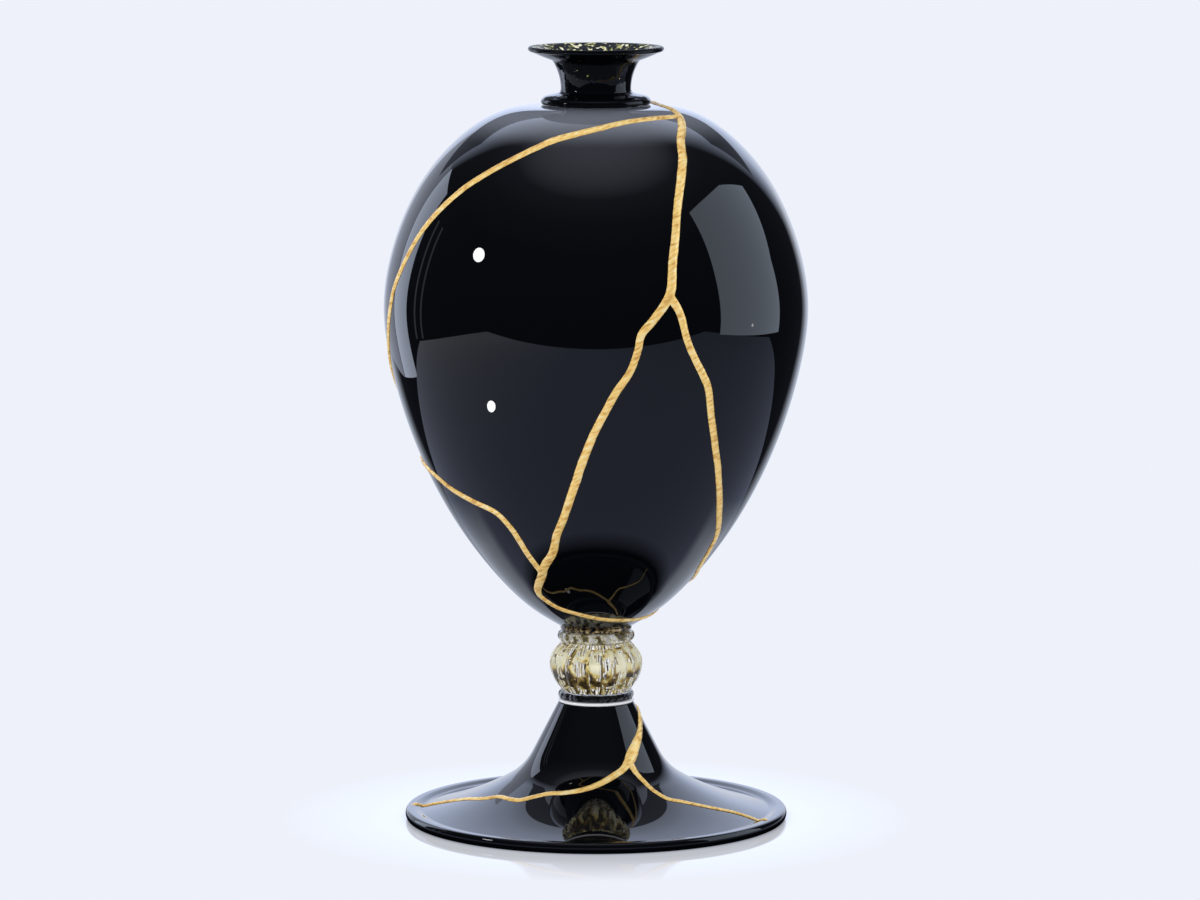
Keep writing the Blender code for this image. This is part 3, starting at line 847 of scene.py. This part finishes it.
def leaf_finish():
    """Crumpled gold leaf inside the knop: brown high up and in a low band, pale between, and torn. Its
    paleness at the very bottom is a painted glint, and it has a faint painted glow in its own tones.
    """
    # A faint painted glow: the leaf gives off light in its own tones.
    made, tree, shader = principled(
        "gold_leaf", (0.9, 0.8, 0.5), Roughness=0.4, Metallic=0.1, Emission_Strength=0.1
    )
    rise = remap(tree, own_height(tree), KNOP_BOTTOM, KNOP_TOP)
    # The pale bottom of this ramp is a painted glint.
    pale = ramp(tree, rise, [(place, (tone,) * 3) for place, tone in LEAF_PALENESS])
    streaks = cloud(tree, scale=330.0, detail=2.0, stretch=(1.0, 1.0, 0.22))
    mixed = add(tree, "ShaderNodeMix", {"Factor": 0.38, "A": streaks, "B": pale}, data_type="FLOAT")
    tone = ramp(tree, mixed.outputs["Result"], LEAF_TONES)
    tree.links.new(tone, shader.inputs["Base Color"])
    tree.links.new(tone, shader.inputs["Emission Color"])
    torn = remap(tree, cloud(tree, scale=420.0, detail=2.0, stretch=(1.0, 1.0, 0.3)), 0.44, 0.47)
    tree.links.new(torn, shader.inputs["Alpha"])
    roughen(tree, shader, streaks, distance=0.0008)
    return made


def wobble(point, scale, depth):
    """A smooth push of at most about the depth, the same each time."""
    return depth * noise.noise(Vector(point) * scale)


def make_body(skin, finish):
    """The hollow body, open at the top by the bore that runs on through the neck."""
    floor = BODY_BOTTOM + BODY_FLOOR
    hollow = [skin.inset(i / HOLLOW_STEPS, BODY_WALL) for i in range(HOLLOW_STEPS + 1)]
    heights = [height for radius, height in hollow]
    radii = [radius for radius, height in hollow]
    outline = [(0.0, floor), (float(np.interp(floor, heights, radii)), floor)]
    outline += [point for point in hollow[2::2] if point[1] > floor + BODY_WALL]
    outline += [(BORE_RADIUS, hollow[-1][1]), (BORE_RADIUS, BODY_TOP)]
    outline += [skin.section(1.0 - i / BODY_STEPS)[:2] for i in range(BODY_STEPS + 1)]
    outline.append((0.0, BODY_BOTTOM))
    return turned("vase_body", outline, BODY_SEGMENTS, finish, "body")


def make_foot(finish):
    """The foot, hollow underneath, standing on the flat ring under its folded rim."""
    rim_centre = FOOT_RIM_RADIUS - FOOT_RIM_ROUND
    half = FOOT_RIM_THICKNESS / 2
    outside = dense(foot_line(FOOT_ARC_STEPS)[::-1], FOOT_STEP)
    edge = []
    for i in range(1, FOOT_ARC_STEPS + 1):
        angle = math.pi / 2 - math.pi * i / FOOT_ARC_STEPS
        edge.append((rim_centre + FOOT_RIM_ROUND * math.cos(angle), half + half * math.sin(angle)))
    inside = foot_curve(FOOT_WALL, FOOT_ARC_STEPS // 2)
    ceiling = FOOT_HEIGHT - FOOT_CROWN
    rest_edge = rim_centre - FOOT_REST_WIDTH
    bend = rest_edge - FOOT_RIM_ROUND
    spring = ceiling - FOOT_WALL
    arch = [point for point in inside if point[1] < spring and point[0] < bend - FOOT_RIM_ROUND / 2]
    radii = [point[0] for point in inside]
    heights = [point[1] for point in inside]
    over_rest = float(np.interp(bend, radii[::-1], heights[::-1]))
    shoulder = float(np.interp(spring, heights, radii))
    outline = [(0.0, FOOT_HEIGHT), *outside, *edge]
    outline += [(rest_edge, 0.0), (bend, over_rest), *arch]
    outline += [(shoulder, spring), (shoulder * FOOT_CEILING_SHARE, ceiling), (0.0, ceiling)]
    return turned("vase_foot", outline, FOOT_SEGMENTS, finish, "foot")


def bead_outline(node, bulge, steps):
    """The section of a ring of the stem, whose side swells by the bulge."""
    low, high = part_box(node)
    outline = [(0.0, high.z)]
    for i in range(steps + 1):
        share = 1.0 - i / steps
        swell = math.sqrt(max(0.0, 1.0 - (2.0 * share - 1.0) ** 2))
        outline.append((high.x - bulge * (1.0 - swell), low.z + (high.z - low.z) * share))
    outline.append((0.0, low.z))
    return outline


def ribbed(ribs, depth, widest):
    """A shape that draws the surface in between ribs, less where the piece is narrower."""

    def shape(azimuth, radius, height):
        valley = 1.0 - abs(math.cos(azimuth * ribs / 2)) ** RIB_ROUNDNESS
        return radius * (1.0 - valley * depth / widest), height

    return shape


def knop_outline(steps, inset):
    """The knop's section, this far inside its skin, widest at its belt, each half a parabola."""
    seat = STEM_RADIUS - KNOP_SEAT_INSET - inset
    belt = KNOP_BOTTOM + KNOP_BELT
    outline = [(0.0, KNOP_TOP - inset)]
    for i in range(steps + 1):
        share = 1.0 - 2.0 * i / steps
        half = KNOP_TOP - belt if share > 0 else KNOP_BELT
        radius = KNOP_RADIUS - inset - (KNOP_RADIUS - inset - seat) * share * share
        outline.append((radius, belt + share * (half - inset)))
    outline.append((0.0, KNOP_BOTTOM + inset))
    return outline


def crumpled(azimuth, radius, height):
    """A shape for the leaf, which isn't quite round."""
    return radius + wobble((azimuth, height * 90, 0), 2.0, LEAF_WOBBLE), height


def neck_outline():
    """The neck's section, down its outer side, up its bore and out over the dished mouth."""
    lip_half = LIP_THICKNESS / 2
    edge = LIP_RADIUS - lip_half
    outline = []
    for turn in np.linspace(math.pi / 2, -math.pi / 2, 13):
        outline.append((edge + lip_half * math.cos(turn), VASE_TOP - lip_half + lip_half * math.sin(turn)))
    throat = VASE_TOP - LIP_THICKNESS - LIP_RISE
    for share in np.linspace(0.95, 0.05, 10):
        outline.append((THROAT_RADIUS + share * (edge - THROAT_RADIUS), throat + LIP_RISE * share**1.15))
    for share in np.linspace(0.95, 0.0, 12):
        radius = NECK_WAIST_RADIUS + (THROAT_RADIUS - NECK_WAIST_RADIUS) * share * share
        outline.append((radius, WAIST_BOTTOM + share * (throat - WAIST_BOTTOM)))
    for out, up in LEDGE_OUTLINE:
        radius = NECK_WAIST_RADIUS + out * (LEDGE_RADIUS - NECK_WAIST_RADIUS)
        outline.append((radius, NECK_BOTTOM + up * LEDGE_THICKNESS))
    outline.append((BODY_TOP_RADIUS, NECK_BOTTOM))
    outline.append((BORE_RADIUS, NECK_BOTTOM))
    throat_depth = MOUTH_DEPTH + MOUTH_FLARE
    for share in np.linspace(0.0, 0.96, 22):
        radius = BORE_RADIUS + share * (edge - BORE_RADIUS)
        outline.append((radius, VASE_TOP - throat_depth * (1.0 - share) ** 1.6))
    return outline


def smooth_path(points):
    """Close points on a rounded line through the crack's points, which it doesn't cut short."""
    knots = np.array(points, float)
    knots = np.vstack((2 * knots[0] - knots[1], knots, 2 * knots[-1] - knots[-2]))
    path = []
    for i in range(1, len(knots) - 2):
        before, start, end, after = knots[i - 1 : i + 3]
        for t in np.linspace(0.0, 1.0, 48, endpoint=False):
            bend = 2 * before - 5 * start + 4 * end - after
            twist = 3 * start - before - 3 * end + after
            path.append(start + 0.5 * t * (end - before + t * (bend + t * twist)))
    path.append(knots[-2])
    return np.array(path)


def stations(skin, points):
    """Evenly spaced stations along the crack."""
    path = smooth_path(points)
    places = np.array([skin.point(azimuth, rise) for azimuth, rise, width in path])
    gone = np.concatenate(([0.0], np.cumsum(np.linalg.norm(np.diff(places, axis=0), axis=1))))
    count = max(2, round(gone[-1] / SEAM_STEP))
    even = np.linspace(0.0, gone[-1], count + 1)
    return even, np.array([np.interp(even, gone, path[:, k]) for k in range(3)]).T


def beside(skin, centre, along, shift, lift):
    """The point this far to the side of a crack and this far off the skin."""
    azimuth, rise = centre
    radius = skin.section(rise)[0]
    there = azimuth - math.degrees(along[1] * shift / radius)
    here = rise + along[0] * shift / skin.length
    return skin.point(there, here, lift)


def seam_strip(name, skin, points, lift):
    """One seam: a crowned strip with a brushed, rippled back, lofted along its crack."""
    even, line = stations(skin, points)
    centres = np.array([skin.point(azimuth, rise) for azimuth, rise, width in line])
    across = [math.sin(math.pi / 2 * share) for share in np.linspace(-1.0, 1.0, 11)]
    mesh = bmesh.new()
    rings = []
    for i, (azimuth, rise, width) in enumerate(line):
        gone = even[i]
        ahead = centres[min(i + 2, len(line) - 1)] - centres[max(i - 2, 0)]
        out = skin.section(rise)[2]
        turn = math.radians(azimuth)
        east = np.array((-math.sin(turn), math.cos(turn), 0.0))
        up = np.array((-out[1] * math.cos(turn), -out[1] * math.sin(turn), out[0]))
        along = np.array((ahead @ east, ahead @ up))
        along /= np.hypot(*along)
        end = min(gone, even[-1] - gone) / (SEAM_TAPER * width)
        taper = math.sqrt(min(1.0, end))
        drift = STROKE_DRIFT * noise.noise(Vector((gone * STROKE_DRIFT_SCALE, 0, 0)))
        ring = []
        for share in across:
            edge = wobble((gone, 3.0 * share, 1.0), EDGE_SCALE, EDGE_WANDER)
            shift = share * width / 2 * (1.0 + edge)
            crown = (1.0 - abs(share) ** SEAM_ROUNDNESS) * SEAM_HEIGHT * taper
            ripple = math.sin(gone * STROKE_RATE + share * STROKE_SLANT + drift)
            crown += SEAM_RIPPLE * (1.0 - share * share) * ripple
            crown += wobble((gone, share * 0.002, 5.0), PIT_SCALE, SEAM_RIPPLE) * (1.0 - share * share)
            ring.append(mesh.verts.new(beside(skin, (azimuth, rise), along, shift, lift + crown)))
        for share in (1.0, -1.0):
            shift = share * width / 2
            ring.append(mesh.verts.new(beside(skin, (azimuth, rise), along, shift, lift - SEAM_BED)))
        rings.append(ring)
    size = len(rings[0])
    for start, end in zip(rings, rings[1:]):
        for i in range(size):
            j = (i + 1) % size
            mesh.faces.new((start[i], start[j], end[j], end[i]))
    mesh.faces.new(reversed(rings[0]))
    mesh.faces.new(rings[-1])
    bmesh.ops.recalc_face_normals(mesh, faces=mesh.faces)
    data = bpy.data.meshes.new(name)
    mesh.to_mesh(data)
    mesh.free()
    return linked(name, data)


def seam_network(name, skin, cracks, finish, node):
    """The seams of one skin as one closed mesh."""
    network = seam_strip(name, skin, cracks[0], 0.0)
    branches = []
    for i, crack in enumerate(cracks[1:], start=1):
        branch = seam_strip(f"{name}_branch_{i}", skin, crack, i * SEAM_HEIGHT / BRANCHES_TO_A_HEIGHT)
        joint = network.modifiers.new(f"join_{i}", "BOOLEAN")
        joint.operation = "UNION"
        joint.solver = "EXACT"
        joint.object = branch
        branches.append(branch)
    graph = bpy.context.evaluated_depsgraph_get()
    joined = bpy.data.meshes.new_from_object(network.evaluated_get(graph))
    network.modifiers.clear()
    network.data = joined
    for branch in branches:
        bpy.data.objects.remove(branch, do_unlink=True)
    joined.materials.clear()
    joined.materials.append(finish)
    joined.shade_smooth()
    joined.set_sharp_from_angle(angle=math.radians(60))
    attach(network, "root")
    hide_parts(node)
    return network


def glow(name, colour, strength):
    """A surface of even light."""
    made, tree = bare(bpy.data.materials, name)
    light = add(tree, "ShaderNodeEmission", {"Color": (*colour, 1.0), "Strength": strength})
    finish_tree(tree, "ShaderNodeOutputMaterial", light.outputs[0])
    return made


def panel(name, corners, finish, diffuse=True):
    """A flat part of the studio that the glass mirrors and the camera doesn't see."""
    mesh = bpy.data.meshes.new(name)
    mesh.from_pydata(corners, [], [tuple(range(len(corners)))])
    mesh.materials.append(finish)
    made = linked(name, mesh)
    made.visible_camera = False
    made.visible_transmission = False
    made.visible_shadow = False
    made.visible_diffuse = diffuse
    return made


def wall(start, end, low, high):
    """The corners of an upright panel over the line between two places on the floor."""
    return ((*start, low), (*end, low), (*end, high), (*start, high))


def facing_vase(centre, size, sides=24):
    """The corners of an oval panel that faces the middle of the vase."""
    middle = Vector(centre)
    back = (middle - Vector((0.0, 0.0, AIM_HEIGHT))).normalized()
    side = back.cross(Vector((0.0, 0.0, 1.0))).normalized() * (size[0] / 2)
    up = side.cross(back).normalized() * (size[1] / 2)
    turns = [math.tau * i / sides for i in range(sides)]
    return [tuple(middle + math.cos(t) * side + math.sin(t) * up) for t in turns]


def disc(centre, radius, sides=24):
    """The corners of a level disc."""
    turns = [math.tau * i / sides for i in range(sides)]
    return [(centre[0] + radius * math.cos(t), centre[1] + radius * math.sin(t), centre[2]) for t in turns]


def table_finish():
    """The table's light as the glass mirrors it: brighter on the left and behind, with a painted shadow that
    puts it out close to the foot.
    """
    made, tree = bare(bpy.data.materials, "table_light")
    place = own_place(tree)
    apart = add(tree, "ShaderNodeSeparateXYZ", {"Vector": place})
    across = remap(tree, apart.outputs["X"], -TABLE_SPAN, TABLE_SPAN)
    tone = ramp(tree, across, ((0.0, TABLE_LEFT), (TABLE_MIDDLE, TABLE), (1.0, TABLE_RIGHT)))
    away = add(tree, "ShaderNodeVectorMath", {0: place}, operation="LENGTH").outputs["Value"]
    # Painted shadow: the table gives no light close to the foot.
    lit = remap(tree, away, 1.06 * FOOT_RIM_RADIUS, 1.35 * FOOT_RIM_RADIUS)
    beside = reckon(tree, "ABSOLUTE", apart.outputs["X"])
    in_line = remap(tree, beside, BEHIND_HALF, BEHIND_HALF_FADED, 1.0, 0.0)
    past = remap(tree, apart.outputs["Y"], BEHIND_START, BEHIND_FULL)
    behind = reckon(tree, "MULTIPLY", in_line, past)
    lit = reckon(tree, "MAXIMUM", lit, behind)
    tone = blend(tree, behind, tone, (*TABLE_BEHIND, 1.0))
    light = add(tree, "ShaderNodeEmission", {"Color": tone, "Strength": lit})
    finish_tree(tree, "ShaderNodeOutputMaterial", light.outputs[0])
    return made


def make_panels():
    """What the glass mirrors: table, softbox, white boards, the lamp and its image on the table."""
    corners = [(*place, TABLE_LEVEL) for place in TABLE_CORNERS]
    panel("studio_table", corners, table_finish(), diffuse=False)
    corners = [(SOFTBOX_ACROSS, back, up) for back, up in SOFTBOX_CORNERS]
    panel("studio_softbox", corners, glow("softbox", SOFTBOX, 1.0), diffuse=False)
    panel("studio_board", BOARD_CORNERS, glow("board", BOARD, 1.0), diffuse=False)
    panel("studio_dim_board", DIM_BOARD_CORNERS, glow("dim_board", DIM_BOARD, 1.0), diffuse=False)
    stripe = glow("stripe", STRIPE, 1.0)
    for i, azimuth in enumerate(STRIPE_AZIMUTHS):
        turn = math.radians(azimuth)
        start = (math.sin(turn), -math.cos(turn))
        end = (math.sin(turn + STRIPE_TURN), -math.cos(turn + STRIPE_TURN))
        panel(f"studio_stripe_{i}", wall(start, end, 0.0, STRIPE_TOP), stripe, diffuse=False)
    flag = glow("flag", FLAG, 1.0)
    panel("studio_flag", wall(*FLAG_ENDS, FLAG_LOW, FLAG_TOP), flag, diffuse=False)
    lamp = glow("lamp", WHITE, LAMP_STRENGTH)
    panel("studio_lamp", facing_vase(LAMP_PLACE, LAMP_SIZE), lamp)
    panel("studio_lamp_on_table", disc(LAMP_IMAGE_PLACE, LAMP_IMAGE_RADIUS), lamp, diffuse=False)
    panel("studio_spark", facing_vase(SPARK_PLACE, SPARK_SIZE), glow("spark", WHITE, SPARK_STRENGTH))


def make_fill():
    """A soft light from the front, low down, which the glass doesn't mirror."""
    light = bpy.data.lights.new("fill", "SUN")
    light.energy = FILL_ENERGY
    light.angle = math.radians(30)
    fill = linked("fill", light)
    fill.rotation_euler = (math.radians(72), 0.0, math.radians(-12))
    fill.visible_glossy = False


def make_floor():
    """A pale floor with a painted shadow close under the foot, and a faint mirror image of the vase."""
    made, tree = bare(bpy.data.materials, "pale_floor")
    # Painted shadow: ambient occlusion darkens the floor's glow under the foot.
    painted_shadow = add(tree, "ShaderNodeAmbientOcclusion", {"Distance": 0.05}, samples=8)
    tone = ramp(tree, painted_shadow.outputs["AO"], ((0.0, PAINTED_FLOOR_SHADOW), (0.85, PALE)))
    light = add(tree, "ShaderNodeEmission", {"Color": tone})
    mirror = add(tree, "ShaderNodeBsdfGlossy", {"Roughness": 0.05})
    away = add(tree, "ShaderNodeVectorMath", {0: own_place(tree)}, operation="LENGTH").outputs["Value"]
    share = remap(tree, away, MIRROR_START, MIRROR_END, MIRROR_SHARE, 0.0)
    both = add(tree, "ShaderNodeMixShader", {"Fac": share, 1: light.outputs[0], 2: mirror.outputs[0]})
    finish_tree(tree, "ShaderNodeOutputMaterial", both.outputs[0])
    far = FLOOR_REACH
    mesh = bpy.data.meshes.new("studio_floor")
    mesh.from_pydata([(-far, -far, 0), (far, -far, 0), (far, far, 0), (-far, far, 0)], [], [(0, 1, 2, 3)])
    mesh.materials.append(made)
    floor = linked("studio_floor", mesh)
    floor.visible_glossy = False


def make_world():
    """Pale all round for the eye. The glass mirrors a dark room with a bright ceiling and a pale back."""
    world, tree = bare(bpy.data.worlds, "studio")
    bpy.context.scene.world = world
    way = add(tree, "ShaderNodeTexCoord").outputs["Generated"]
    apart = add(tree, "ShaderNodeSeparateXYZ", {"Vector": way})
    room = ramp(tree, apart.outputs["Z"], ROOM)
    lowest = BACKDROP[0][0]
    rise = remap(tree, apart.outputs["Z"], lowest, 1.0)
    backdrop = ramp(tree, rise, [((sine - lowest) / (1.0 - lowest), colour) for sine, colour in BACKDROP])
    across = reckon(tree, "ADD", reckon(tree, "ABSOLUTE", apart.outputs["X"]), LEAST_ACROSS)
    back = reckon(tree, "MAXIMUM", apart.outputs["Y"], LEAST_BACK)
    spread = remap(tree, apart.outputs["Z"], 0.1, 0.9, 1.0, BACKDROP_SPREAD)
    narrow = reckon(tree, "DIVIDE", reckon(tree, "DIVIDE", across, back), spread)
    behind = remap(tree, narrow, BACKDROP_HALF, BACKDROP_HALF_FADED, 1.0, 0.0)
    mirrored = blend(tree, behind, room, backdrop)
    path = add(tree, "ShaderNodeLightPath")
    glossy = path.outputs["Is Glossy Ray"]
    seen_in_glass = reckon(tree, "SUBTRACT", glossy, path.outputs["Is Transmission Ray"], use_clamp=True)
    seen = blend(tree, seen_in_glass, (*PALE, 1.0), mirrored)
    light = add(tree, "ShaderNodeBackground", {"Color": seen, "Strength": 1.0})
    finish_tree(tree, "ShaderNodeOutputWorld", light.outputs[0])


def make_camera():
    """The camera of the photograph."""
    camera = bpy.data.cameras.new("camera")
    camera.lens = CAMERA_LENS
    camera.sensor_width = CAMERA_FRAME
    eye = linked("camera", camera)
    eye.location = CAMERA_PLACE
    eye.rotation_euler = (math.pi / 2 - CAMERA_PITCH, 0.0, -CAMERA_YAW)
    bpy.context.scene.camera = eye


black_glass = black_glass_finish()
flecked_glass = flecked("flecked_glass", neck_share, Roughness=0.04, Specular_IOR_Level=0.3)
mouth_glass = flecked("mouth_glass", mouth_share, Roughness=0.3, Specular_IOR_Level=0.1)
gold = gold_finish()
rippled_glass = rippled_glass_finish()
speckled_glass = speckled_glass_finish()
crystal = crystal_finish()
leafed_crystal = leafed_crystal_finish()
thread = thread_finish()
leaf = leaf_finish()

body_surface = body_skin()
foot_surface = Skin(foot_line(FOOT_ARC_STEPS))

make_body(body_surface, black_glass)
make_foot(black_glass)
turned(
    "vase_knop",
    knop_outline(KNOP_STEPS, 0.0),
    KNOP_RIBS * KNOP_RIB_SEGMENTS,
    crystal,
    "knop",
    shape=ribbed(KNOP_RIBS, KNOP_RIB_DEPTH, KNOP_RADIUS),
)
turned(
    "knop_gold_leaf",
    knop_outline(LEAF_STEPS, LEAF_DEPTH)[1:-1],
    RING_SEGMENTS,
    leaf,
    None,
    shape=crumpled,
)
turned(
    "stem_ring_ribbed",
    bead_outline("knop_ring", RING_BULGE * 2, KNOP_RING_STEPS),
    KNOP_RIBS * KNOP_RING_RIB_SEGMENTS,
    leafed_crystal,
    "knop_ring",
    shape=ribbed(KNOP_RIBS, KNOP_RING_RIB_DEPTH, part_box("knop_ring")[1].x),
)
for name, node, bulge, finish, slot in (
    ("stem_ring_black", "black_ring", RING_BULGE, rippled_glass, "black_glass"),
    ("stem_thread", "thread_ring", THREAD_BULGE, thread, "clear_thread"),
    ("stem_collar", "collar", RING_BULGE, speckled_glass, "flecked_glass"),
):
    turned(name, bead_outline(node, bulge, RING_STEPS), RING_SEGMENTS, finish, node)
neck = turned("vase_neck", neck_outline(), NECK_SEGMENTS, flecked_glass, "neck", closed=True)
neck.data.materials.append(mouth_glass)
for face in neck.data.polygons:
    if face.center.z > VASE_TOP - MOUTH_DEPTH - MOUTH_FLARE and face.normal.z > 0.1:
        face.material_index = 1
seam_network(
    "seams_of_body",
    body_surface,
    (
        CRACK_DOWN_THE_FRONT,
        CRACK_OVER_THE_SHOULDER,
        CRACK_DOWN_THE_RIGHT,
        CRACK_ROUND_THE_LEFT,
        CRACK_UP_THE_BACK,
    ),
    gold,
    "body_seams",
)
seam_network(
    "seams_of_foot", foot_surface, (CRACK_ACROSS_THE_FOOT, CRACK_TO_THE_RIGHT_RIM), gold, "foot_seams"
)

make_panels()
make_fill()
make_floor()
make_world()
make_camera()
bpy.context.scene.view_settings.view_transform = "Standard"
